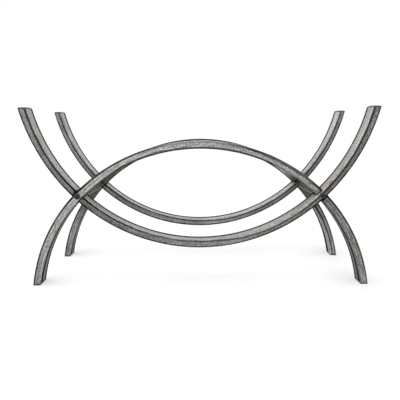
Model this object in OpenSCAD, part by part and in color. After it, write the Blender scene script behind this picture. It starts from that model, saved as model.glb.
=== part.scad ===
// Firewood rack of bent rectangular tube.
// Two equal frames, front and rear, each an arch and a cradle of the same bend.
// Arch and cradle are halved into each other where they cross and lie in one plane.
// The origin is on the floor, in the middle of the rack. +X is to the right, +Z is up
// and the front frame is at -Y. All sizes are in millimetres.

/* [Rack] */
// Height from the floor to the tips of the cradles
rack_h = 470; // [450:5:500]
// Height from the floor to the top of the arches
arch_h = 385; // [370:1:400]
// Height from the floor to the underside of the cradles
cradle_h = 105; // [90:1:120]
// Depth over both frames, without the bolt heads
rack_d = 268; // [220:1:400]

/* [Bows] */
// Bend radius of arch and cradle, at the middle of the tube
bend_r = 450; // [440:5:480]
// Width of the tube, across the bend
tube_w = 20; // [19:0.5:24]
// Depth of the tube, from front to rear
tube_d = 40; // [36:1:44]
// Wall of the tube
tube_wall = 2; // [1.5:0.1:2.5]
// Outer corner radius of the tube
tube_corner_r = 3.5; // [2.8:0.1:4.5]
// Clearance between a notch and the bow that crosses in it
notch_gap = 0.15; // [0.05:0.05:0.5]

/* [Crossing bolts] */
// Thread diameter of the crossing bolts
bolt_d = 8; // [6:1:8]
// Length of a crossing bolt below its head
bolt_len = 60; // [50:1:64]
// Diameter of the button head
head_d = 14; // [12:0.5:15]
// Height of the button head
head_h = 4.4; // [3.5:0.1:5]
// Width across the flats of the hexagon socket
socket_w = 5; // [4:0.5:6]
// Depth of the hexagon socket
socket_depth = 2.6; // [2:0.1:3]
// Diameter of the washers
washer_d = 16; // [15:0.5:18]
// Thickness of the washers
washer_t = 1.6; // [1:0.1:2]
// Clearance round a bolt in washer, tube and sleeve
bolt_gap = 0.2; // [0.1:0.05:0.5]
// Outer diameter of the crush sleeves
sleeve_d = 13; // [11:0.5:14]

/* [Tie bars] */
// Width of the square tie bars
tie_w = 20; // [19:0.5:22]
// Wall of the tie bars
tie_wall = 2; // [1.5:0.1:2.2]
// Outer corner radius of the tie bars
tie_corner_r = 2.5; // [2.4:0.1:3]
// Length of the threaded plugs in the ends of the tie bars
plug_len = 24; // [20:1:30]
// Clearance between a threaded plug and its tie bar
plug_gap = 0.1; // [0.05:0.05:0.3]
// Clearance round the bolt in a threaded plug
thread_gap = 0.05; // [0.05:0.05:0.1]

/* [End caps] */
// Thickness of the head of a cap
cap_t = 5; // [4:0.5:6]
// Rounding round the sole of a foot cap
sole_edge_r = 2; // [1:0.25:3]
// Rounding round the top of a tip cap
crown_edge_r = 3; // [1:0.25:3.5]
// Radius of the domed top of a tip cap
dome_r = 90; // [80:5:200]
// Clearance between the shank of a cap and the tube that it goes into
shank_gap = 1.5; // [1:0.1:2]
// Wall of the shank
shank_wall = 1.8; // [1.2:0.1:2.5]
// Length of the shank
shank_len = 20; // [18:1:26]
// Number of gripping ribs on a shank
rib_count = 3; // [2:1:3]
// Thickness of a rib
rib_t = 1.2; // [0.8:0.1:1.6]
// Distance from rib to rib
rib_pitch = 5; // [4:0.5:6]
// Distance from the head to the first rib
rib_start = 5; // [4:0.5:6]
// Clearance between a rib and the tube
rib_gap = 0.1; // [0.05:0.05:0.3]

/* [Hidden] */

LEFT = -1;
RIGHT = 1;
FRONT = -1;
REAR = 1;

// Height of the crossings, halfway between the tops of the arches and the cradles' undersides
cross_z = (arch_h + cradle_h) / 2;
// Height of the crossings over the ends of an arch, and depth below the ends of a cradle
arch_leg = cross_z;
cradle_leg = rack_h - cross_z;
// Distance of the centre of a bow's bend from the level of its crossings
centre_drop = bend_r + tube_w / 2 - (arch_h - cradle_h) / 2;
// At the crossings the radius of the bend leans cross_a from upright,
// so the arch slopes by cross_a too
cross_a = acos(centre_drop / bend_r);
cross_x = bend_r * sin(cross_a);
// Distance from the middle of the rack to the middle of a frame
frame_y = (rack_d - tube_d) / 2;
tie_len = rack_d - 2 * tube_d;
// Inside of the tube
bore_w = tube_w - 2 * tube_wall;
bore_d = tube_d - 2 * tube_wall;
bore_r = tube_corner_r - tube_wall;
hole_d = bolt_d + 2 * bolt_gap;
// Shank of a cap
shank_w = bore_w - 2 * shank_gap;
shank_d = bore_d - 2 * shank_gap;
// How far a cutting shape runs past what it cuts
over = 1;
// Steps of the rounding round the end of a cap. It stops short of upright, because the sides
// of a bow lean at its ends
edge_step_a = 12.5;
edge_end_a = 75;
// Steps of a full turn, for the bends and for small round pieces
bend_steps = 180;
round_steps = 48;

steel_colour = [0.50, 0.50, 0.48];
tie_colour = [0.30, 0.30, 0.29];
bolt_colour = [0.10, 0.10, 0.10];
zinc_colour = [0.62, 0.62, 0.60];
cap_colour = [0.16, 0.16, 0.15];

// Angle of the bend that spans a length of tube
function bend_angle(length) = length / bend_r * 180 / PI;

// How far from the middle of the rack a bow ends, measured at radius r of its bend
function end_x(r, leg) = sqrt(pow(r, 2) - pow(centre_drop - leg, 2));

// Angle of the bend at the end of the tube, where the head of a cap sits
function end_a(leg) = asin((centre_drop - leg + cap_t) / bend_r);

// Rectangle with rounded corners, centred
module round_rect(w, d, r) {
    difference() {
        square([w, d], center = true);
        for (x = [-1, 1], y = [-1, 1]) {
            translate([x * (w / 2 - r), y * (d / 2 - r)]) {
                corner_waste(r, x, y);
            }
        }
    }
}

// What rounding takes off the corner of a rectangle that points to x, y
module corner_waste(r, x, y) {
    difference() {
        translate([x * (r + over) / 2, y * (r + over) / 2]) {
            square(r + over, center = true);
        }
        circle(r, $fn = round_steps);
    }
}

// Section of a tube
module tube_section(w, d, wall, r) {
    difference() {
        round_rect(w, d, r);
        round_rect(w - 2 * wall, d - 2 * wall, r - wall);
    }
}

// Sweeps a section along the bend of an arch that has its crossings at z = 0.
// Angles run from +X towards +Z
module along_bend(from, to) {
    translate([0, 0, -centre_drop]) {
        rotate([90, 0, 0]) {
            rotate_extrude(start = from, angle = to - from, $fn = bend_steps) {
                translate([bend_r, 0]) {
                    children();
                }
            }
        }
    }
}

// Keeps what lies between two heights
module between(low, high) {
    intersection() {
        children();
        translate([-rack_h * 2, -tube_d, low]) {
            cube([rack_h * 4, tube_d * 2, high - low]);
        }
    }
}

// Turns a bow over its crossings, from arch to cradle
module turned_over() {
    rotate([0, 180, 0]) {
        children();
    }
}

// Moves a bow, drawn with its crossings at z = 0 and its middle plane at y = 0, into its frame.
// The rear frame is the front frame turned round, so its outer face looks to the rear
module in_frame(y_side) {
    rotate([0, 0, y_side == FRONT ? 0 : 180]) {
        translate([0, -frame_y, cross_z]) {
            children();
        }
    }
}

// Puts the middle of a frame's outer face at a crossing, with +Z pointing out of the rack
module at_crossing(y_side, x_side) {
    translate([x_side * cross_x, y_side * rack_d / 2, cross_z]) {
        rotate([-90 * y_side, 0, 0]) {
            children();
        }
    }
}

// Puts the middle of the rack at a pair of crossings, with +Z along Y and square to the arches
module at_tie_bar(x_side) {
    translate([x_side * cross_x, 0, cross_z]) {
        rotate([0, x_side * cross_a, 0]) {
            rotate([-90, 0, 0]) {
                children();
            }
        }
    }
}

// Space that the other bow takes in half the depth of this one, at one crossing.
// side is where the crossing lies and depth_side the half of the tube that is cut away
module notch(side, depth_side) {
    half_angle = bend_angle(tube_w);
    middle = 90 + side * cross_a;
    notch_d = tube_d / 2 + over;
    turned_over() {
        along_bend(middle - half_angle, middle + half_angle) {
            translate([-tube_w / 2 - notch_gap, depth_side == REAR ? -notch_d : 0]) {
                square([tube_w + 2 * notch_gap, notch_d]);
            }
        }
    }
}

// Hole for a crossing bolt, right through the bow
module bolt_hole(side) {
    translate([side * cross_x, 0, 0]) {
        rotate([90, 0, 0]) {
            cylinder(h = tube_d + 2 * over, d = hole_d, center = true, $fn = round_steps);
        }
    }
}

// One bent tube, drawn as the arch of the front frame. leg is its height from the heads of
// its caps, which it stands on, to the crossings.
// It keeps its front half at the left crossing and its rear half at the right one
module bow(leg) {
    color(steel_colour) {
        difference() {
            between(cap_t - leg, bend_r) {
                along_bend(0, 180) {
                    tube_section(tube_w, tube_d, tube_wall, tube_corner_r);
                }
            }
            notch(LEFT, REAR);
            notch(RIGHT, FRONT);
            bolt_hole(LEFT);
            bolt_hole(RIGHT);
        }
    }
}

module arch(y_side) {
    in_frame(y_side) {
        bow(arch_leg);
    }
}

module cradle(y_side) {
    in_frame(y_side) {
        turned_over() {
            bow(cradle_leg);
        }
    }
}

module tie_bar(x_side) {
    color(tie_colour) {
        at_tie_bar(x_side) {
            linear_extrude(tie_len, center = true) {
                tube_section(tie_w, tie_w, tie_wall, tie_corner_r);
            }
        }
    }
}

// Square steel plug in the end of a tie bar, flush with the end, that takes a bolt's thread
module tie_plug(y_side, x_side) {
    plug_w = tie_w - 2 * tie_wall - 2 * plug_gap;
    plug_r = tie_corner_r - tie_wall;
    color(zinc_colour) {
        at_tie_bar(x_side) {
            translate([0, 0, y_side * (tie_len - plug_len) / 2]) {
                linear_extrude(plug_len, center = true) {
                    difference() {
                        round_rect(plug_w, plug_w, plug_r);
                        circle(d = bolt_d + 2 * thread_gap, $fn = round_steps);
                    }
                }
            }
        }
    }
}

// Button head bolt with a hexagon socket, its head on the washer
module bolt(y_side, x_side) {
    dome_ball_r = (pow(head_d / 2, 2) + pow(head_h, 2)) / (2 * head_h);
    color(bolt_colour) {
        at_crossing(y_side, x_side) {
            translate([0, 0, washer_t]) {
                difference() {
                    union() {
                        intersection() {
                            cylinder(h = head_h + over, d = head_d, $fn = round_steps);
                            translate([0, 0, head_h - dome_ball_r]) {
                                sphere(dome_ball_r, $fn = round_steps);
                            }
                        }
                        translate([0, 0, -bolt_len]) {
                            cylinder(h = bolt_len + head_h / 4, d = bolt_d, $fn = round_steps);
                        }
                    }
                    translate([0, 0, head_h - socket_depth]) {
                        cylinder(h = socket_depth + over, d = socket_w / cos(30), $fn = 6);
                    }
                }
            }
        }
    }
}

module washer(y_side, x_side) {
    color(bolt_colour) {
        at_crossing(y_side, x_side) {
            linear_extrude(washer_t) {
                difference() {
                    circle(d = washer_d, $fn = round_steps);
                    circle(d = hole_d, $fn = round_steps);
                }
            }
        }
    }
}

// Sleeve round a bolt between the outer walls of the two halved tubes
module sleeve(y_side, x_side) {
    color(zinc_colour) {
        at_crossing(y_side, x_side) {
            translate([0, 0, -tube_wall - bore_d]) {
                linear_extrude(bore_d) {
                    difference() {
                        circle(d = sleeve_d, $fn = round_steps);
                        circle(d = hole_d, $fn = round_steps);
                    }
                }
            }
        }
    }
}

// Hollow shank of a cap with its gripping ribs, bent like the tube at its right end
module cap_shank(leg) {
    difference() {
        union() {
            between(cap_t / 2 - leg, 0) {
                along_bend(0, end_a(leg) + bend_angle(shank_len)) {
                    square([shank_w, shank_d], center = true);
                }
            }
            for (i = [0 : rib_count - 1]) {
                rib_a = end_a(leg) + bend_angle(rib_start + i * rib_pitch);
                along_bend(rib_a, rib_a + bend_angle(rib_t)) {
                    round_rect(bore_w - 2 * rib_gap, bore_d - 2 * rib_gap, bore_r);
                }
            }
        }
        between(cap_t - leg, 0) {
            along_bend(0, end_a(leg) + bend_angle(shank_len + over)) {
                square([shank_w - 2 * shank_wall, shank_d - 2 * shank_wall], center = true);
            }
        }
    }
}

// Solid head of a cap, level at both ends and flush with the sides of the tube,
// with a rounding of radius edge_r round its outer end
module cap_head(leg, edge_r) {
    intersection() {
        between(-leg, cap_t - leg) {
            along_bend(0, 90 - cross_a) {
                round_rect(tube_w, tube_d, tube_corner_r);
            }
        }
        translate([0, 0, -leg]) {
            rotate([90, 0, 0]) {
                linear_extrude(tube_d + 2 * over, center = true) {
                    rounded_end(end_x(bend_r - tube_w / 2, leg), end_x(bend_r + tube_w / 2, leg), edge_r);
                }
            }
        }
        translate([end_x(bend_r, leg) - tube_w, 0, -leg]) {
            rotate([90, 0, 90]) {
                linear_extrude(tube_w * 2) {
                    rounded_end(-tube_d / 2, tube_d / 2, edge_r);
                }
            }
        }
    }
}

// Outline of an end with both corners rounded, which opens out above them
module rounded_end(from, to, r) {
    right = concat(
        [for (a = [0 : edge_step_a : edge_end_a]) [to - r + r * sin(a), r - r * cos(a)]],
        [[to - r + r * sin(edge_end_a) + tube_d * cos(edge_end_a), r + tube_d * sin(edge_end_a)]]
    );
    left = [for (i = [len(right) - 1 : -1 : 0]) [from + to - right[i][0], right[i][1]]];
    polygon(concat(right, left));
}

// Puts a cap, drawn at the right end of an arch that has its crossings at z = 0,
// at an end of a bow in its frame
module at_end(y_side, x_side) {
    translate([0, y_side * frame_y, cross_z]) {
        rotate([0, 0, x_side == RIGHT ? 0 : 180]) {
            children();
        }
    }
}

module foot_cap(y_side, x_side) {
    color(cap_colour) {
        at_end(y_side, x_side) {
            cap_head(arch_leg, sole_edge_r);
            cap_shank(arch_leg);
        }
    }
}

module tip_cap(y_side, x_side) {
    color(cap_colour) {
        at_end(y_side, x_side) {
            mirror([0, 0, 1]) {
                intersection() {
                    cap_head(cradle_leg, crown_edge_r);
                    translate([end_x(bend_r, cradle_leg), 0, dome_r - cradle_leg]) {
                        sphere(dome_r, $fn = bend_steps);
                    }
                }
                cap_shank(cradle_leg);
            }
        }
    }
}

arch(FRONT);  // front_arch
cradle(FRONT);  // front_cradle
arch(REAR);  // rear_arch
cradle(REAR);  // rear_cradle
tie_bar(LEFT);  // left_tie_bar
tie_bar(RIGHT);  // right_tie_bar
tie_plug(FRONT, LEFT);  // front_left_tie_plug
tie_plug(FRONT, RIGHT);  // front_right_tie_plug
tie_plug(REAR, LEFT);  // rear_left_tie_plug
tie_plug(REAR, RIGHT);  // rear_right_tie_plug
bolt(FRONT, LEFT);  // front_left_bolt
bolt(FRONT, RIGHT);  // front_right_bolt
bolt(REAR, LEFT);  // rear_left_bolt
bolt(REAR, RIGHT);  // rear_right_bolt
washer(FRONT, LEFT);  // front_left_washer
washer(FRONT, RIGHT);  // front_right_washer
washer(REAR, LEFT);  // rear_left_washer
washer(REAR, RIGHT);  // rear_right_washer
sleeve(FRONT, LEFT);  // front_left_sleeve
sleeve(FRONT, RIGHT);  // front_right_sleeve
sleeve(REAR, LEFT);  // rear_left_sleeve
sleeve(REAR, RIGHT);  // rear_right_sleeve
tip_cap(FRONT, LEFT);  // front_left_tip_cap
tip_cap(FRONT, RIGHT);  // front_right_tip_cap
tip_cap(REAR, LEFT);  // rear_left_tip_cap
tip_cap(REAR, RIGHT);  // rear_right_tip_cap
foot_cap(FRONT, LEFT);  // front_left_foot_cap
foot_cap(FRONT, RIGHT);  // front_right_foot_cap
foot_cap(REAR, LEFT);  // rear_left_foot_cap
foot_cap(REAR, RIGHT);  // rear_right_foot_cap
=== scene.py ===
"""Looks of a firewood rack of bent steel tube: finishes, floor, light and camera."""

from math import pi, radians

import bmesh
import bpy
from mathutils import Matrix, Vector


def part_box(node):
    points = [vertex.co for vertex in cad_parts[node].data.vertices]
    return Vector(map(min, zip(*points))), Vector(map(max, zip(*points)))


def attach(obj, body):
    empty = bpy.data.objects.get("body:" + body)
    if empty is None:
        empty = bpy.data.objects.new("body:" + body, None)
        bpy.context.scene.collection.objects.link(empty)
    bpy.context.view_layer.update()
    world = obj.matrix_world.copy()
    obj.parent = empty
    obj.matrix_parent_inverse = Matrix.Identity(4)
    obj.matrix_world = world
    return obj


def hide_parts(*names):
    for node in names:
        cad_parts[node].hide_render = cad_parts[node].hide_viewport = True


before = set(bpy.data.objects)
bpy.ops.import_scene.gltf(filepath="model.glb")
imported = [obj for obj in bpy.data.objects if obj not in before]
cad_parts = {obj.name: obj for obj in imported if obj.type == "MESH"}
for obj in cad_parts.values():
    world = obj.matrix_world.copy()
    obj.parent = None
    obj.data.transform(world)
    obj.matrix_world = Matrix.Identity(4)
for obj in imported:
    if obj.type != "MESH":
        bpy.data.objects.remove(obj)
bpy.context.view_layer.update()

# Sizes of the rack in metres, taken from the frame where it holds them
BEND_RADIUS = 0.450
TUBE_WIDTH = 0.020
CORNER_RADIUS = 0.0035
TUBE_WALL = 0.002
NOTCH_GAP = 0.00015
BOLT_HOLE = 0.0084
ARCH_LOW, ARCH_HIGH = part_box("front_arch")
CRADLE_LOW, CRADLE_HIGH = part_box("front_cradle")
TUBE_DEPTH = ARCH_HIGH.y - ARCH_LOW.y
FRAME_Y = -(ARCH_HIGH.y + ARCH_LOW.y) / 2
ARCH_CENTRE = ARCH_HIGH.z - TUBE_WIDTH / 2 - BEND_RADIUS
CRADLE_CENTRE = CRADLE_LOW.z + TUBE_WIDTH / 2 + BEND_RADIUS
CROSSING = (ARCH_CENTRE + CRADLE_CENTRE) / 2

# Points of half a circle of the bend, of a notch, of a bolt hole and of a corner of the tube
BEND_POINTS = 181
NOTCH_POINTS = 40
HOLE_POINTS = 48
CORNER_POINTS = 6

# Width, depth and height of the block that cuts the ends of a bow level
END_BLOCK = (4.0, 1.0, 1.0)

# Facets that meet at less than this angle are shaded as one round surface
SHARP_EDGE = radians(30)

# Points of a cap's mesh that lie closer than this are the same point
JOIN_DISTANCE = 0.00002

# Looks of the coat of arches and cradles. All lists but the last are ramps along the rack, from
# left to right: x in metres plus 0.5, and the value there.
# "face", "outside" and "inside" are greys as the eye sees them, 0 black and 1 white, of the flat
# faces and of the outside and inside of the bend. They are partly painted light and shade: the inside
# of an arch is painted dark as the shade under it, the inside of a cradle light as lit from above,
# the faces of the cradles darker than those of the arches, and all change along the rack as the
# light falls. On the rear bow, "rear face" multiplies the grey of the front face, which darkens its
# legs with painted shade, and "rear leg" lightens the inside of the right leg with painted light and
# widens and darkens its lines.
# "outer line" and "inner line" are widths in centimetres of the dark lines along the outer and the
# inner corners, as seen on the face. "inner line inside" is the width of the inner one on the
# inside of the bend, in metres.
# "outer fade" and "inner gap" are how much of the lines is gone on a front bow, "inner fade" how
# much of the inner one is gone in the middle of any bow.
# "off on face", "off on rear face" and "off on inside" are how far the inner line lies off its
# corner, in centimetres, on the face of a front bow, of a rear bow, and on the inside of the bend.
# The strip between the corner and the line takes the grey of the side across the corner, which paints
# the light of the lit side past the corner.
# "gleam inside" is 0 where the painted highlight strokes lie on the face and 1 where they lie on the
# inside.
# "rear shade" is how dark the front half of the rear bow is near its crossings. "warm spots" are
# the x and z in metres of faint rust-brown spots on the front bow
ARCH_COLOURS = {
    "face": [(0.055, 0.46), (0.09, 0.54), (0.127, 0.57), (0.25, 0.585), (0.33, 0.56), (0.45, 0.535),
             (0.60, 0.49), (0.74, 0.455), (0.85, 0.36), (0.89, 0.375), (0.95, 0.475)],
    "outside": [(0.0, 0.50), (1.0, 0.46)],
    "inside": [(0.05, 0.36), (0.10, 0.33), (0.15, 0.26), (0.19, 0.15), (0.27, 0.18), (0.50, 0.25),
               (0.66, 0.25), (0.69, 0.45), (0.735, 0.45), (0.76, 0.17), (0.81, 0.15), (0.86, 0.30),
               (0.95, 0.38)],
    "rear leg": [(0.84, 0.0), (0.88, 0.17), (0.95, 0.20)],
    "rear face": [(0.05, 0.88), (0.09, 0.84), (0.135, 0.82), (0.165, 0.98), (0.23, 1.0),
                  (0.84, 1.0), (0.89, 0.93), (0.95, 0.93)],
    "outer line": [(0.0, 0.58), (0.20, 0.58), (0.45, 0.48), (0.55, 0.46), (0.66, 0.70),
                   (0.73, 1.20), (0.77, 1.05), (0.83, 0.60), (1.0, 0.50)],
    "outer fade": [(0.05, 0.0), (0.36, 0.0), (0.45, 0.85), (0.55, 0.85), (0.64, 0.05),
                   (0.70, 0.35), (0.78, 0.40), (0.86, 0.15), (0.95, 0.20)],
    "inner line": [(0.05, 0.22), (0.22, 0.24), (0.36, 0.60), (0.60, 0.60), (0.70, 0.36),
                   (0.80, 0.30), (0.95, 0.30)],
    "inner line inside": 0.0130,
    "inner fade": 0.20,
    "inner gap": [(0.68, 0.0), (0.695, 0.9), (0.735, 0.9), (0.755, 0.0)],
    "off on face": [(0.0, 0.0), (1.0, 0.0)],
    "off on rear face": [(0.83, 0.0), (0.88, 0.46), (0.92, 0.58), (0.95, 0.62)],
    "off on inside": [(0.05, 0.40), (0.20, 0.35), (0.30, 0.0), (0.70, 0.0), (0.82, 0.35), (0.95, 0.40)],
    "gleam inside": 0.0,
    "rear shade": [(0.50, 0.60), (0.60, 0.0), (0.77, 0.0), (0.80, 0.58), (0.85, 0.50), (0.88, 0.30)],
    "warm spots": [(0.30, 0.27), (0.417, 0.093)],
}
CRADLE_COLOURS = {
    "face": [(0.05, 0.50), (0.13, 0.415), (0.25, 0.375), (0.40, 0.43), (0.50, 0.47), (0.60, 0.48),
             (0.68, 0.39), (0.87, 0.36), (0.95, 0.42)],
    "outside": [(0.0, 0.46), (1.0, 0.46)],
    "inside": [(0.05, 0.49), (0.14, 0.465), (0.52, 0.485), (0.66, 0.54), (0.78, 0.53),
               (0.86, 0.51), (0.95, 0.61)],
    "rear leg": [(0.0, 0.0), (1.0, 0.0)],
    "rear face": [(0.0, 1.0), (1.0, 1.0)],
    "outer line": [(0.0, 0.52), (1.0, 0.50)],
    "outer fade": [(0.05, 0.0), (0.28, 0.0), (0.41, 0.25), (0.59, 0.25), (0.72, 0.0), (0.95, 0.0)],
    "inner line": [(0.0, 0.54), (0.20, 0.50), (0.30, 0.44), (0.78, 0.44), (0.88, 0.48), (1.0, 0.50)],
    "inner line inside": 0.0018,
    "inner fade": 0.28,
    "inner gap": [(0.0, 0.0), (1.0, 0.0)],
    "off on face": [(0.07, 0.05), (0.13, 0.16), (0.24, 0.0), (0.53, 0.0), (0.61, 0.50),
                    (0.68, 0.75), (0.78, 0.70), (0.86, 0.45), (0.91, 0.24), (0.95, 0.14)],
    "off on rear face": [(0.06, 0.40), (0.13, 0.40), (0.24, 0.10), (0.40, 0.0), (0.50, 0.28),
                         (0.60, 0.52), (0.76, 0.45), (0.87, 0.45), (0.95, 0.55)],
    "off on inside": [(0.0, 0.0), (1.0, 0.0)],
    "gleam inside": 1.0,
    "rear shade": [(0.0, 0.0), (1.0, 0.0)],
    "warm spots": [(-0.405, 0.424), (0.32, 0.26)],
}

# Sizes of the marks on that coat, in metres. A pair is where a soft edge starts and ends
CENTIMETRE = 0.01
INSIDE_EDGE = (-0.004, 0.004)
CORNER_EDGE = (-0.0008, 0.0008)
OFF_CORNER_EDGE = (0.0, 0.002)
MIDDLE_EDGE = (0.09, 0.22)
LINE_START = 0.0011
LINE_STREAKS = 0.0012
LINE_SCRIBBLE = 0.0016
LEG_LINE_WIDTH = 0.007
GLEAM_START = (0.0, 0.0012)
GLEAM_END = (0.0026, 0.0050)
GLEAM_INSIDE_EDGE = (0.003, 0.012)
STRIP_WIDTH = 0.0130
LEVEL_STRIP_WIDTH = 0.0045
LEG_STRIP_WIDTH = 0.055
NEAR_JOINT_EDGE = (0.012, 0.050)
SEAM_EDGE = (0.0012, 0.0034)
JOINT_SHADE_EDGE = (0.0, 0.016)
REAR_SHADE_DEPTH = (-0.016, 0.006)
REAR_SHADE_REACH = (0.03, 0.17)
WARM_SPOT_EDGE = (0.008, 0.034)
WARM_SPOT_CLOUDS = 0.06

# Edges of a line and of the strip along the rear corner as shares of their width, and how much
# wider that strip is on the rear bow
LINE_EDGE = (0.72, 1.12)
STRIP_EDGE = (0.55, 1.15)
REAR_STRIP_WIDENING = 0.22

# Soft edges by the level of a grain, which lies round 0
GLEAM_STREAKS = (-0.12, 0.06)
WORN_STREAKS = (0.17, 0.24)
TINT_CLOUDS = (-0.2, 0.2)
RUBBED_GRAIN = (0.02, 0.22)
ZINC_CRYSTALS = (-0.15, 0.15)
DUST_CLOUDS = (-0.1, 0.2)
SCUFF_GRAIN = (0.06, 0.18)

# How much the marks lighten the coat, the painted highlights among them
REAR_BOW_LIGHT = 0.06
GLEAM_LIGHT = 0.10
FACE_GLEAM = 1.6
WEAR_LIGHT = 0.10

# How much they darken it: the lines everywhere, near a joint, where they add painted shade, on the
# rear bow, in the middle of that, by the scribble, and on the outside and the inside of a rear leg,
# then the other marks, among them the painted shade round a joint
LINE_DARKNESS = 0.50
JOINT_LINE_DARKNESS = 0.22
REAR_LINE_DARKNESS = -0.08
REAR_MIDDLE_LINE_DARKNESS = 0.20
SCRIBBLE_LINE_DARKNESS = 0.5
OUTER_LEG_LINE_DARKNESS = -0.9
INNER_LEG_LINE_DARKNESS = 1.1
STRIP_DARKNESS = 0.66
LEG_STRIP_DARKNESS = 0.7
SEAM_DARKNESS = 0.74
JOINT_SHADE_DARKNESS = 0.18

# Tints as red, green, blue and alpha, which multiply a grey
PLAIN_TINT = (1.0, 0.995, 0.93, 1.0)
WARM_TINT = (1.0, 0.975, 0.94, 1.0)
RUST_TINT = (1.0, 0.90, 0.83, 1.0)
SHADE_TINT = (1.0, 0.99, 0.78, 1.0)
BAR_TINT = (1.0, 0.995, 0.70, 1.0)
WARM_BAR_TINT = (1.0, 0.98, 0.76, 1.0)
DARK_TINT = (1.0, 0.985, 0.95, 1.0)
BLUE_ZINC_TINT = (0.96, 0.98, 1.0, 1.0)
YELLOW_ZINC_TINT = (1.0, 0.97, 0.88, 1.0)
WHITE = (1.0, 1.0, 1.0, 1.0)

# Places of shade on the tie bars' ends, of the bolts' heads above the tube, and of dust on the
# feet above the floor, in metres
BAR_END_EDGE = (0.0, 0.008)
HEAD_EDGE = (0.0038, 0.0062)
DUST_EDGE = (0.0, 0.003)

# Power that turns a grey as the eye sees it into light
EYE_GAMMA = 2.2

# Strength of the relief of the finishes, and its height in metres
RELIEF_STRENGTH = 0.7
COAT_RELIEF = 0.00025
OXIDE_RELIEF = 0.00015
ZINC_RELIEF = 0.0001
PLASTIC_RELIEF = 0.0003

# Camera as the picture was taken: lens and sensor in millimetres, place in metres, degrees that
# it looks down, and its roll in radians
CAMERA_LENS = 32.15
CAMERA_SENSOR = 36.0
CAMERA_PLACE = (0.0011, -1.0401, 0.4093)
CAMERA_DOWN = 10.94
CAMERA_ROLL = 0.005

# Name, place, size and power of each lamp. All face the same point
LAMPS = [
    ("Overhead lamp", (-0.5, -0.4, 2.2), 1.6, 30.0),
    ("Front lamp", (0.6, -2.6, 1.3), 1.8, 20.0),
    ("Back lamp", (0.4, 2.8, 1.2), 1.8, 16.0),
    ("Left lamp", (-3.0, 0.3, 1.0), 1.6, 14.0),
    ("Right lamp", (3.0, 0.3, 1.0), 1.6, 14.0),
]
LAMP_TARGET = (0.0, 0.0, 0.2)
SKY_LIGHT = 0.44

# Floor: half its width, its grey and its light, and how much of the shade is kept round the rack
# and round a foot, and where it ends
FLOOR_REACH = 12.0
FLOOR_GREY = (0.9, 0.9, 0.9, 1.0)
FLOOR_LIGHT = 1.1
RACK_SHADE = 0.3
RACK_SHADE_EDGE = (0.7, 1.6)
FOOT_SHADE = 0.22
FOOT_SHADE_EDGE = (0.02, 0.12)


class Value:
    """A socket of a shader or geometry tree. Sums on it add Math nodes to that tree."""

    def __init__(self, tree, socket):
        self.tree = tree
        self.socket = socket

    def math(self, operation, *values):
        """A Math node in the tree of this value, with all its values given."""
        return self.tree.add("ShaderNodeMath", {"operation": operation}, *values)

    def __add__(self, other):
        return self.math("ADD", self, other)

    def __sub__(self, other):
        return self.math("SUBTRACT", self, other)

    def __rsub__(self, other):
        return self.math("SUBTRACT", other, self)

    def __mul__(self, other):
        return self.math("MULTIPLY", self, other)

    def __truediv__(self, other):
        return self.math("DIVIDE", self, other)

    def __pow__(self, other):
        return self.math("POWER", self, other)

    def __abs__(self):
        return self.math("ABSOLUTE", self)

    __radd__ = __add__
    __rmul__ = __mul__

    def above(self, edge):
        """1 where the value is above the edge, else 0."""
        return self.math("GREATER_THAN", self, edge)

    def rise(self, low, high):
        """0 up to low, 1 from high, with a smooth rise between."""
        settings = {"interpolation_type": "SMOOTHSTEP"}
        return self.tree.add("ShaderNodeMapRange", settings, self, low, high, 0.0, 1.0)


class Tree:
    """The nodes of a material, a world or a modifier."""

    def __init__(self, node_tree):
        self.nodes = node_tree.nodes
        self.links = node_tree.links

    def node(self, kind, settings=None, *values, **named):
        """Adds a node, makes its settings, then fills its sockets in order or by name."""
        made = self.nodes.new(kind)
        for key, value in (settings or {}).items():
            setattr(made, key, value)
        for socket, value in zip(made.inputs, values):
            self.fill(socket, value)
        for key, value in named.items():
            self.fill(made.inputs[key.replace("_", " ")], value)
        return made

    def fill(self, socket, value):
        """Links a socket to a value, or to each of a list of them, or sets its number."""
        if isinstance(value, list):
            for part in value:
                self.fill(socket, part)
        elif isinstance(value, Value):
            self.links.new(value.socket, socket)
        else:
            socket.default_value = value

    def add(self, kind, settings=None, *values, **named):
        """Adds a node and gives its first output."""
        return Value(self, self.node(kind, settings, *values, **named).outputs[0])

    def point(self, x, y, z):
        """The three numbers as one place."""
        return self.add("ShaderNodeCombineXYZ", None, x, y, z)


# Bows


class Plan(Tree):
    """A Geometry Nodes tree with named inputs, and the pieces that it makes."""

    def __init__(self, name, lengths, vectors):
        self.group = bpy.data.node_groups.new(name, "GeometryNodeTree")
        super().__init__(self.group)
        self.group.interface.new_socket(
            "Piece", in_out="OUTPUT", socket_type="NodeSocketGeometry")
        kinds = [(key, "NodeSocketFloat") for key in lengths]
        kinds += [(key, "NodeSocketVector") for key in vectors]
        for key, kind in kinds + [("Coat", "NodeSocketMaterial")]:
            self.group.interface.new_socket(key, in_out="INPUT", socket_type=kind)
        self.start = self.node("NodeGroupInput")

    def input(self, name):
        return Value(self, self.start.outputs[name])

    def piece(self, name, **inputs):
        """Runs the tree with these inputs and gives its result as a plain mesh piece."""
        holder = bpy.data.objects.new(name, bpy.data.meshes.new(name))
        bpy.context.collection.objects.link(holder)
        plan = holder.modifiers.new("Plan", "NODES")
        plan.node_group = self.group
        for socket in self.group.interface.items_tree:
            if socket.in_out == "INPUT":
                plan[socket.identifier] = inputs[socket.name.lower().replace(" ", "_")]
        flats = holder.modifiers.new("Flats", "WEIGHTED_NORMAL")
        flats.keep_sharp = True
        flats.weight = 100
        view = bpy.context.evaluated_depsgraph_get()
        mesh = bpy.data.meshes.new_from_object(holder.evaluated_get(view))
        holder.modifiers.clear()
        holder.data = mesh
        mesh.name = name
        return holder


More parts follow.
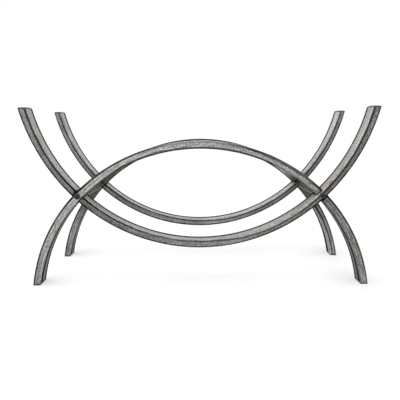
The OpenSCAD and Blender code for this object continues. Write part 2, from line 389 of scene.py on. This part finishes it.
def bow_plan():
    """Tree of one bent tube, drawn as an arch in the plane y = 0 with its crossings at z = 0."""
    plan = Plan(
        "Bow",
        ["Bend radius", "Centre drop", "End drop", "Tube width", "Tube depth", "Tube wall",
         "Corner radius", "Notch gap", "Bolt hole"],
        ["Turn", "Shift"])
    radius = plan.input("Bend radius")
    drop = plan.input("Centre drop")
    width = plan.input("Tube width")
    depth = plan.input("Tube depth")
    wall = plan.input("Tube wall")
    corner = plan.input("Corner radius")
    lean = radius.math("ARCCOSINE", drop / radius)
    crossing_x = radius * radius.math("SINE", lean)

    def moved(geometry, shift, turn):
        return plan.add("GeometryNodeTransform", None,
                        Geometry=geometry, Translation=shift, Rotation=turn)

    def bent_bar(start, sweep, points, across, deep, rounding):
        """Bar of rectangular section, bent round the centre of the arch."""
        line = plan.add("GeometryNodeCurveArc", {"mode": "RADIUS"}, Resolution=points,
                        Radius=radius, Start_Angle=start, Sweep_Angle=sweep)
        outline = plan.add("GeometryNodeCurvePrimitiveQuadrilateral", None,
                           Width=across, Height=deep)
        section = plan.add("GeometryNodeFilletCurve", {"mode": "POLY"},
                           Curve=outline, Count=CORNER_POINTS, Radius=rounding)
        bar = plan.add("GeometryNodeCurveToMesh", None,
                       Curve=line, Profile_Curve=section, Fill_Caps=True)
        return moved(bar, plan.point(0.0, 0.0, 0.0 - drop), (pi / 2, 0.0, 0.0))

    def notch(side, depth_side):
        """What the other bow takes at one crossing, from the middle of the tube outwards."""
        reach = width / radius
        slot = width + 2 * plan.input("Notch gap")
        start = pi / 2 + side * lean - reach
        bar = bent_bar(start, 2 * reach, NOTCH_POINTS, slot, depth, 0.0)
        return moved(bar, plan.point(0.0, depth_side * depth / 2, 0.0), (0.0, pi, 0.0))

    def bolt_hole(side):
        bore = plan.add("GeometryNodeMeshCylinder", None, Vertices=HOLE_POINTS,
                        Radius=plan.input("Bolt hole") / 2, Depth=2 * depth)
        return moved(bore, plan.point(side * crossing_x, 0.0, 0.0), (pi / 2, 0.0, 0.0))

    end_block = plan.add("GeometryNodeMeshCube", None, Size=plan.point(*END_BLOCK))
    below_ends = plan.point(0.0, 0.0, -END_BLOCK[2] / 2 - plan.input("End drop"))
    waste = [
        bent_bar(0.0, pi, BEND_POINTS, width - 2 * wall, depth - 2 * wall, corner - wall),
        moved(end_block, below_ends, (0.0, 0.0, 0.0)),
        notch(-1, 1),
        notch(1, -1),
        bolt_hole(-1),
        bolt_hole(1),
    ]
    bar = bent_bar(0.0, pi, BEND_POINTS, width, depth, corner)
    tube = plan.add("GeometryNodeMeshBoolean", {"operation": "DIFFERENCE", "solver": "MANIFOLD"},
                    Mesh_1=bar, Mesh_2=waste)
    bend = plan.add("GeometryNodeInputMeshEdgeAngle")
    smooth = plan.add("GeometryNodeSetShadeSmooth", {"domain": "FACE"}, tube, True, True)
    shaded = plan.add("GeometryNodeSetShadeSmooth", {"domain": "EDGE"},
                      smooth, bend.above(SHARP_EDGE), False)
    placed = moved(shaded, plan.input("Shift"), plan.input("Turn"))
    whole = plan.add("GeometryNodeRealizeInstances", None, placed)
    coated = plan.add("GeometryNodeSetMaterial", None, whole, True, plan.input("Coat"))
    plan.node("NodeGroupOutput", None, coated)
    return plan


# Finishes


class Finish(Tree):
    """The nodes of one material, which reads its place on the rack in metres."""

    def __init__(self, name):
        self.material = bpy.data.materials.new(name)
        self.material.use_nodes = True
        super().__init__(self.material.node_tree)
        self.nodes.clear()
        place = self.node("ShaderNodeTexCoord").outputs["Object"]
        split = self.node("ShaderNodeSeparateXYZ", None, Value(self, place))
        self.x, self.y, self.z = (Value(self, split.outputs[axis]) for axis in "XYZ")
        self.axes = (self.x, self.y, self.z)

    def grain(self, per_metre, detail=3.0, roughness=0.55):
        """Cloudy grain round 0, with this many features per metre along each of the axes."""
        place = self.point(*(axis * count for axis, count in zip(self.axes, per_metre)))
        cloud = self.add("ShaderNodeTexNoise", None, Vector=place,
                         Scale=1.0, Detail=detail, Roughness=roughness)
        return cloud - 0.5

    def blend(self, amount, first, second, kind="MIX"):
        """A blend of two colours."""
        mix = self.node("ShaderNodeMix", {"data_type": "RGBA", "blend_type": kind})
        for number, value in ((0, amount), (6, first), (7, second)):
            self.fill(mix.inputs[number], value)
        return Value(self, mix.outputs[2])

    def ramp(self, value, stops):
        """Grey that follows a value from 0 to 1 through stops of place and grey."""
        node = self.node("ShaderNodeValToRGB", None, value)
        node.color_ramp.interpolation = "EASE"
        marks = node.color_ramp.elements
        while len(marks) < len(stops):
            marks.new(0.5)
        for mark, (place, grey) in zip(marks, stops):
            mark.position = place
            mark.color = (grey, grey, grey, 1.0)
        return Value(self, node.outputs[0])

    def tinted(self, grey, tint):
        """Colour of a grey as the eye sees it, with a faint tint."""
        light = grey.math("MAXIMUM", grey, 0.0) ** EYE_GAMMA
        plain = self.add("ShaderNodeCombineColor", None, light, light, light)
        return self.blend(1.0, plain, tint, "MULTIPLY")

    def finish(self, colour, roughness, relief, depth, dull=0.0, **constants):
        """Joins colour, roughness and relief, whose depth is in metres, in the surface.

        Where dull is 1 the surface has no gloss.
        """
        bump = self.add("ShaderNodeBump", None, Strength=RELIEF_STRENGTH, Distance=depth,
                        Height=relief)
        glossy = self.add("ShaderNodeBsdfPrincipled", None, Base_Color=colour,
                          Roughness=roughness, Normal=bump, **constants)
        matt = self.add("ShaderNodeBsdfPrincipled", None, Base_Color=colour, Normal=bump,
                        Roughness=1.0, Specular_IOR_Level=0.0)
        surface = self.add("ShaderNodeMixShader", None, dull, glossy, matt)
        self.node("ShaderNodeOutputMaterial", None, surface)
        return self.material


def beyond(distance, width):
    """0 where a line starts, 1 where its width ends, and also 1 a little way before its start."""
    return distance.math("MAXIMUM", distance / width, distance / -LINE_START)


class BowCoat(Finish):
    """Graphite coat of a bow: where a point lies on the bent tube, the grain, and the marks.

    Its axes run along the tube, outwards from the bend, and from front to back.
    """

    def __init__(self, name, centre, other_centre, colours):
        super().__init__(name)
        self.colours = colours
        up = self.z - centre
        other_up = self.z - other_centre
        x_squared = self.x * self.x
        outwards = (x_squared + up * up) ** 0.5 - BEND_RADIUS
        other_outwards = (x_squared + other_up * other_up) ** 0.5 - BEND_RADIUS
        along = self.x.math("ARCTAN2", up, self.x) * BEND_RADIUS
        self.axes = (along, outwards, self.y)
        self.depth = self.y - self.y.math("SIGN", self.y) * FRAME_Y
        self.from_side = TUBE_WIDTH / 2 - abs(outwards)
        self.from_face = TUBE_DEPTH / 2 - abs(self.depth)
        self.from_joint = abs(other_outwards) - TUBE_WIDTH / 2
        # Each of these is 1 where its name holds: on the rear bow, in the front half of the tube's
        # depth, on the inside of its bend, in the middle of its length, and where it runs level
        self.behind = self.y.above(0.0)
        self.front_half = 1 - self.depth.above(0.0)
        self.on_inside = 1 - outwards.rise(*INSIDE_EDGE)
        self.in_middle = 1 - abs(self.x).rise(*MIDDLE_EDGE)
        self.level = (abs(up) / BEND_RADIUS) ** 4
        self.rear_leg = self.along_x("rear leg") * self.behind
        self.gap = self.along_x("inner gap") * (1 - self.behind)
        self.long_streaks = self.grain((30, 380, 380), 4.0, 0.6)
        self.fine_streaks = self.grain((110, 1200, 1200), 3.0, 0.6)
        self.scribble = self.grain((300, 300, 300), 2.0, 0.6)
        self.clouds = self.grain((14, 60, 60), 2.0, 0.5)
        self.speck = self.grain((1300, 1300, 1300), 2.0, 0.7)
        self.uneven = self.fine_streaks * LINE_STREAKS + self.scribble * LINE_SCRIBBLE
        self.place_lines()

    def along_x(self, part):
        """Value here of one of the ramps of the coat."""
        return self.ramp(self.x + 0.5, self.colours[part])

    def place_lines(self):
        """Finds the distance to the lines along the corners, their width, and what is side."""
        off_face, off_rear_face, off_inside = (
            self.along_x(part) * CENTIMETRE * self.on_inside * self.front_half
            for part in ("off on face", "off on rear face", "off on inside"))
        off_face = off_face + self.behind * (off_rear_face - off_face)
        off_inside = off_inside * (1 - off_face.rise(*OFF_CORNER_EDGE))
        self.from_line_side = self.from_side - off_face
        self.from_line_face = self.from_face - off_inside
        self.on_side = (self.from_line_face - self.from_line_side).rise(*CORNER_EDGE)
        outer, inner = (self.along_x(part) * CENTIMETRE for part in ("outer line", "inner line"))
        inner = inner + LEG_LINE_WIDTH * self.rear_leg
        self.line_on_face = outer + self.on_inside * (inner - outer)
        self.line_on_side = outer + self.on_inside * (self.colours["inner line inside"] - outer)

    def streaked_grey(self):
        """Grey of the faces and sides, partly painted light and shade, with its streaks, without lines
        and marks.
        """
        face, outside, inside, rear_face = (
            self.along_x(part) for part in ("face", "outside", "inside", "rear face"))
        side = outside + self.on_inside * (inside + self.rear_leg - outside)
        face = face * (1 + self.behind * self.front_half * (rear_face - 1))
        grey = (face + self.on_side * (side - face)) * (1 + REAR_BOW_LIGHT * self.behind)
        grey = grey + self.long_streaks * 0.45 + self.fine_streaks * 0.55
        return grey + self.scribble * 0.85 + self.clouds * 0.25

    def corner_lines(self):
        """1 on the dark lines along the corners, less where they fade, and how dark they are."""
        corner = beyond(self.from_line_side + self.uneven, self.line_on_face)
        corner = corner + beyond(self.from_line_face, self.line_on_side)
        outer_fade = self.along_x("outer fade") * (1 - self.behind)
        inner_fade = self.colours["inner fade"] * self.in_middle
        inner_fade = self.gap.math("MAXIMUM", self.gap, inner_fade)
        fade = outer_fade + self.on_inside * (inner_fade - outer_fade)
        lines = (1 - corner.rise(*LINE_EDGE)) * (1 - fade)
        # Lines are darker near a joint, as painted shade between the bows.
        near_joint = 1 - self.from_joint.rise(*NEAR_JOINT_EDGE)
        darkness = LINE_DARKNESS + JOINT_LINE_DARKNESS * near_joint
        on_rear = REAR_LINE_DARKNESS + REAR_MIDDLE_LINE_DARKNESS * self.in_middle
        inner_more = INNER_LEG_LINE_DARKNESS - OUTER_LEG_LINE_DARKNESS
        on_leg = OUTER_LEG_LINE_DARKNESS + inner_more * self.on_inside
        darkness = darkness + on_rear * self.behind + SCRIBBLE_LINE_DARKNESS * self.scribble
        return lines, darkness + on_leg * self.rear_leg

    def rear_strip(self):
        """1 on the dark strip along the rear corner of the inside, and how dark it is."""
        width = STRIP_WIDTH + LEVEL_STRIP_WIDTH * self.level
        width = width * (1 + REAR_STRIP_WIDENING * self.behind) + LEG_STRIP_WIDTH * self.rear_leg
        share = (TUBE_DEPTH / 2 - self.depth + 2 * self.uneven) / width
        strip = self.on_side * self.on_inside * (1 - share.rise(*STRIP_EDGE))
        return strip, (STRIP_DARKNESS + LEG_STRIP_DARKNESS * self.rear_leg) * (1 - self.gap)

    def gleam(self):
        """Painted highlight strokes beside the lines on the face, or by the faces on the inside."""
        edge = self.from_side - self.line_on_face
        on_face = edge.rise(*GLEAM_START) * (1 - edge.rise(*GLEAM_END)) * (1 - self.on_side)
        on_face = FACE_GLEAM * on_face
        inside = 1 - self.from_face.rise(*GLEAM_INSIDE_EDGE)
        inside = inside * self.on_side * self.on_inside
        strokes = on_face + self.colours["gleam inside"] * (inside - on_face)
        return strokes * self.long_streaks.rise(*GLEAM_STREAKS)

    def rear_shade(self):
        """How dark the front half of the rear bow is near its crossings."""
        in_front = self.behind * (1 - self.depth.rise(*REAR_SHADE_DEPTH))
        return in_front * (1 - self.from_joint.rise(*REAR_SHADE_REACH)) * self.along_x("rear shade")

    def joint_marks(self, cut_side):
        """1 on the seams of a crossing and 1 on the painted shade round it, on the half of the bow that
        is cut.
        """
        is_cut = (self.x * self.depth * cut_side).above(0.0)
        seam = is_cut * (1 - abs(self.from_joint).rise(*SEAM_EDGE))
        # Painted shade round the joint, darker nearer the other bow.
        joint_shade = 1 - self.from_joint.rise(*JOINT_SHADE_EDGE)
        return seam, joint_shade * is_cut

    def tint(self, shade):
        """Faint tint of the coat, rusty at a few spots and yellower in the shade."""
        tint = self.blend(self.clouds.rise(*TINT_CLOUDS), PLAIN_TINT, WARM_TINT)
        for spot_x, spot_z in self.colours["warm spots"]:
            from_x, from_z = self.x - spot_x, self.z - spot_z
            from_spot = (from_x * from_x + from_z * from_z) ** 0.5
            from_spot = from_spot + self.clouds * WARM_SPOT_CLOUDS
            near = (1 - from_spot.rise(*WARM_SPOT_EDGE)) * (1 - self.behind)
            tint = self.blend(near, tint, RUST_TINT)
        return self.blend(shade, tint, SHADE_TINT)


def tube_coat(name, centre, other_centre, cut_side, colours):
    """Graphite coat of a bow, streaked along the tube, with dark corners and joint seams,
    painted highlights, and painted light and shade on its sides and round its joints.

    cut_side is the sign of x times the depth on the half that is cut away at a crossing.
    """
    coat = BowCoat(name, centre, other_centre, colours)
    lines, line_darkness = coat.corner_lines()
    strip, strip_darkness = coat.rear_strip()
    shade = coat.rear_shade()
    seam, joint_shade = coat.joint_marks(cut_side)
    wear = (coat.speck + coat.long_streaks).rise(*WORN_STREAKS) * lines
    # The grey holds painted light and shade, and painted highlights beside the lines.
    grey = coat.streaked_grey() + coat.gleam() * GLEAM_LIGHT
    grey = grey * (1 - lines * line_darkness)
    grey = grey * (1 - strip * strip_darkness)
    grey = grey * (1 - shade)
    # The seams are dark joints; the second factor is painted shade round a joint.
    grey = grey * (1 - seam * SEAM_DARKNESS) * (1 - joint_shade * JOINT_SHADE_DARKNESS)
    grey = grey + wear * WEAR_LIGHT
    roughness = 0.50 + coat.long_streaks * 0.25 + coat.scribble * 0.12 - wear * 0.12
    relief = 0.5 * coat.speck + 0.35 * coat.scribble + 0.5 * coat.long_streaks
    dark = lines.math("MAXIMUM", lines, seam.math("MAXIMUM", seam, strip))
    colour = coat.tinted(grey, coat.tint(shade))
    return coat.finish(colour, roughness, relief, COAT_RELIEF, dull=dark)


def tie_bar_coat():
    """Coat of the tie bars, streaked along Y, painted dark as the shade between the frames."""
    coat = Finish("Tie bar coat")
    streaks = coat.grain((430, 26, 430), 4.0, 0.6)
    scribble = coat.grain((330, 330, 330), 2.0, 0.6)
    clouds = coat.grain((30, 11, 30), 2.0, 0.5)
    # The low grey stands in for the shade on the tie bars, and their ends are darker as painted shade.
    grey = 0.13 + streaks * 0.20 + scribble * 0.24 + clouds * 0.12
    bar_end = FRAME_Y - TUBE_DEPTH / 2
    near_end = 1 - (bar_end - abs(coat.y)).rise(*BAR_END_EDGE)
    grey = grey * (1 - near_end * 0.4)
    tint = coat.blend(clouds.rise(*TINT_CLOUDS), BAR_TINT, WARM_BAR_TINT)
    roughness = 0.5 + streaks * 0.25
    return coat.finish(coat.tinted(grey, tint), roughness, streaks + scribble, COAT_RELIEF,
                       Specular_IOR_Level=0.2)


def black_oxide(name, base):
    """Blackened steel of bolts and washers, with a dull sheen and paler rubbed spots."""
    steel = Finish(name)
    grain = steel.grain((900, 900, 900), 4.0, 0.65)
    clouds = steel.grain((160, 160, 160), 3.0, 0.55)
    above_tube = abs(steel.y) - FRAME_Y - TUBE_DEPTH / 2
    head = above_tube.rise(*HEAD_EDGE)
    rubbed = (grain + clouds).rise(*RUBBED_GRAIN) * (0.4 + 0.6 * head)
    grey = base + grain * 0.12 + clouds * 0.10 + rubbed * 0.10
    roughness = 0.42 + grain * 0.3 - rubbed * 0.1
    colour = steel.tinted(grey, DARK_TINT)
    return steel.finish(colour, roughness, grain, OXIDE_RELIEF, Metallic=0.6)


def zinc_plate():
    """Zinc on the hidden sleeves and plugs, cloudy with faint yellow and blue."""
    zinc = Finish("Zinc plate")
    crystals = zinc.grain((420, 420, 420), 3.0, 0.6)
    turned = zinc.grain((120, 2600, 120), 2.0, 0.6)
    grey = 0.66 + crystals * 0.16 + turned * 0.14
    tint = zinc.blend(crystals.rise(*ZINC_CRYSTALS), BLUE_ZINC_TINT, YELLOW_ZINC_TINT)
    roughness = 0.34 + crystals * 0.25
    return zinc.finish(zinc.tinted(grey, tint), roughness, turned, ZINC_RELIEF, Metallic=0.9)


def cap_plastic():
    """Moulded dark plastic of the caps, finely grained, dusty near the floor."""
    plastic = Finish("Cap plastic")
    grain = plastic.grain((1400, 1400, 1400), 3.0, 0.6)
    clouds = plastic.grain((110, 110, 110), 3.0, 0.55)
    dust = (1 - plastic.z.rise(*DUST_EDGE)) * clouds.rise(*DUST_CLOUDS)
    scuffs = plastic.grain((90, 800, 400)).rise(*SCUFF_GRAIN)
    grey = 0.22 + grain * 0.22 + clouds * 0.24 + dust * 0.12 + scuffs * 0.07
    roughness = 0.62 + grain * 0.2
    return plastic.finish(plastic.tinted(grey, DARK_TINT), roughness, grain, PLASTIC_RELIEF)


# Pieces

ARCH_COAT = tube_coat("Arch coat", ARCH_CENTRE, CRADLE_CENTRE, -1, ARCH_COLOURS)
CRADLE_COAT = tube_coat("Cradle coat", CRADLE_CENTRE, ARCH_CENTRE, 1, CRADLE_COLOURS)

# Coat of each bow, the drop from its crossings to the end of its tube, and how it is turned
# from the arch that the plan draws
ARCH_END = CROSSING - ARCH_LOW.z
CRADLE_END = CRADLE_HIGH.z - CROSSING
BOWS = {
    "front_arch": (ARCH_COAT, ARCH_END, (0.0, 0.0, 0.0)),
    "front_cradle": (CRADLE_COAT, CRADLE_END, (0.0, pi, 0.0)),
    "rear_arch": (ARCH_COAT, ARCH_END, (0.0, 0.0, pi)),
    "rear_cradle": (CRADLE_COAT, CRADLE_END, (pi, 0.0, 0.0)),
}
BOW_PLAN = bow_plan()
for node, (coat, end_drop, turn) in BOWS.items():
    frame_y = FRAME_Y if node.startswith("rear") else -FRAME_Y
    bow = BOW_PLAN.piece(
        node + "_tube", bend_radius=BEND_RADIUS, centre_drop=CROSSING - ARCH_CENTRE,
        end_drop=end_drop, tube_width=TUBE_WIDTH, tube_depth=TUBE_DEPTH, tube_wall=TUBE_WALL,
        corner_radius=CORNER_RADIUS, notch_gap=NOTCH_GAP, bolt_hole=BOLT_HOLE,
        turn=turn, shift=(0.0, frame_y, CROSSING), coat=coat)
    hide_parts(node)
    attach(bow, "root")


def moulding(node):
    """Copy of a cap of the CAD whose points that lie on each other are one, to close its mesh."""
    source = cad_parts[node].data
    mesh = bpy.data.meshes.new(node + "_moulding")
    points = [point.co for point in source.vertices]
    mesh.from_pydata(points, [], [face.vertices for face in source.polygons])
    draft = bmesh.new()
    draft.from_mesh(mesh)
    bmesh.ops.remove_doubles(draft, verts=draft.verts, dist=JOIN_DISTANCE)
    for face in draft.faces:
        face.smooth = True
    for edge in draft.edges:
        edge.smooth = edge.calc_face_angle(0.0) < SHARP_EDGE
    draft.to_mesh(mesh)
    draft.free()
    piece = bpy.data.objects.new(mesh.name, mesh)
    bpy.context.collection.objects.link(piece)
    return piece


CAP_FINISH = cap_plastic()
for node in [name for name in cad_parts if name.endswith("tip_cap")]:
    cap = moulding(node)
    cap.data.materials.append(CAP_FINISH)
    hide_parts(node)
    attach(cap, "root")

PART_FINISHES = {
    "tie_bar": tie_bar_coat(),
    "plug": zinc_plate(),
    "bolt": black_oxide("Blackened bolt", 0.15),
    "washer": black_oxide("Blackened washer", 0.34),
    "cap": CAP_FINISH,
}
PART_FINISHES["sleeve"] = PART_FINISHES["plug"]
for node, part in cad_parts.items():
    for ending, material in PART_FINISHES.items():
        if node.endswith(ending):
            for place in part.material_slots:
                place.material = material


# Floor, light and camera


def seen_by_camera(tree):
    """1 on rays from the camera, also by way of gloss or glass, else 0."""
    rays = tree.node("ShaderNodeLightPath").outputs
    straight, gloss, glass = (
        Value(tree, rays[name])
        for name in ("Is Camera Ray", "Is Glossy Ray", "Is Transmission Ray"))
    return gloss.math("MAXIMUM", straight, gloss.math("MAXIMUM", gloss, glass))


def white_floor():
    """Wide white floor that keeps a faint shadow near the rack and is plain white far off."""
    floor = Finish("White floor")
    distance = (floor.x * floor.x + floor.y * floor.y) ** 0.5
    matt = floor.add("ShaderNodeBsdfDiffuse", None, Color=FLOOR_GREY)
    bright = floor.add("ShaderNodeEmission", None, Color=WHITE, Strength=FLOOR_LIGHT)
    from_foot_x = abs(floor.x) - (ARCH_HIGH.x - TUBE_WIDTH / 2)
    from_foot_y = abs(floor.y) - FRAME_Y
    from_foot = (from_foot_x * from_foot_x + from_foot_y * from_foot_y) ** 0.5
    shade = RACK_SHADE * (1 - distance.rise(*RACK_SHADE_EDGE))
    shade = shade + FOOT_SHADE * (1 - from_foot.rise(*FOOT_SHADE_EDGE))
    seen = floor.add("ShaderNodeMixShader", None, shade, bright, matt)
    surface = floor.add("ShaderNodeMixShader", None, seen_by_camera(floor), matt, seen)
    floor.node("ShaderNodeOutputMaterial", None, surface)

    mesh = bpy.data.meshes.new("Floor")
    sides = ((-1, -1), (1, -1), (1, 1), (-1, 1))
    corners = [(x * FLOOR_REACH, y * FLOOR_REACH, 0) for x, y in sides]
    mesh.from_pydata(corners, [], [(0, 1, 2, 3)])
    mesh.materials.append(floor.material)
    plane = bpy.data.objects.new("Floor", mesh)
    bpy.context.collection.objects.link(plane)


def soft_sky():
    """World that lights the rack evenly and looks white."""
    world = bpy.data.worlds.new("Soft sky")
    world.use_nodes = True
    bpy.context.scene.world = world
    tree = Tree(world.node_tree)
    tree.nodes.clear()
    light = tree.add("ShaderNodeBackground", None, Color=WHITE, Strength=SKY_LIGHT)
    backdrop = tree.add("ShaderNodeBackground", None, Color=WHITE, Strength=1.0)
    sky = tree.add("ShaderNodeMixShader", None, seen_by_camera(tree), light, backdrop)
    tree.node("ShaderNodeOutputWorld", None, sky)


def soft_lamp(name, place, size, power):
    """Square lamp that faces the rack."""
    lamp = bpy.data.lights.new(name, "AREA")
    lamp.size = size
    lamp.energy = power
    holder = bpy.data.objects.new(name, lamp)
    bpy.context.collection.objects.link(holder)
    holder.location = place
    towards = Vector(LAMP_TARGET) - Vector(place)
    holder.rotation_euler = towards.to_track_quat("-Z", "Y").to_euler()


def camera():
    """Camera as the picture was taken, a little above the arches and looking down."""
    lens = bpy.data.cameras.new("Camera")
    lens.lens = CAMERA_LENS
    lens.sensor_width = CAMERA_SENSOR
    holder = bpy.data.objects.new("Camera", lens)
    bpy.context.collection.objects.link(holder)
    holder.location = CAMERA_PLACE
    holder.rotation_euler = (radians(90 - CAMERA_DOWN), CAMERA_ROLL, 0.0)
    bpy.context.scene.camera = holder


white_floor()
soft_sky()
for lamp in LAMPS:
    soft_lamp(*lamp)
camera()
bpy.context.scene.view_settings.view_transform = "Standard"
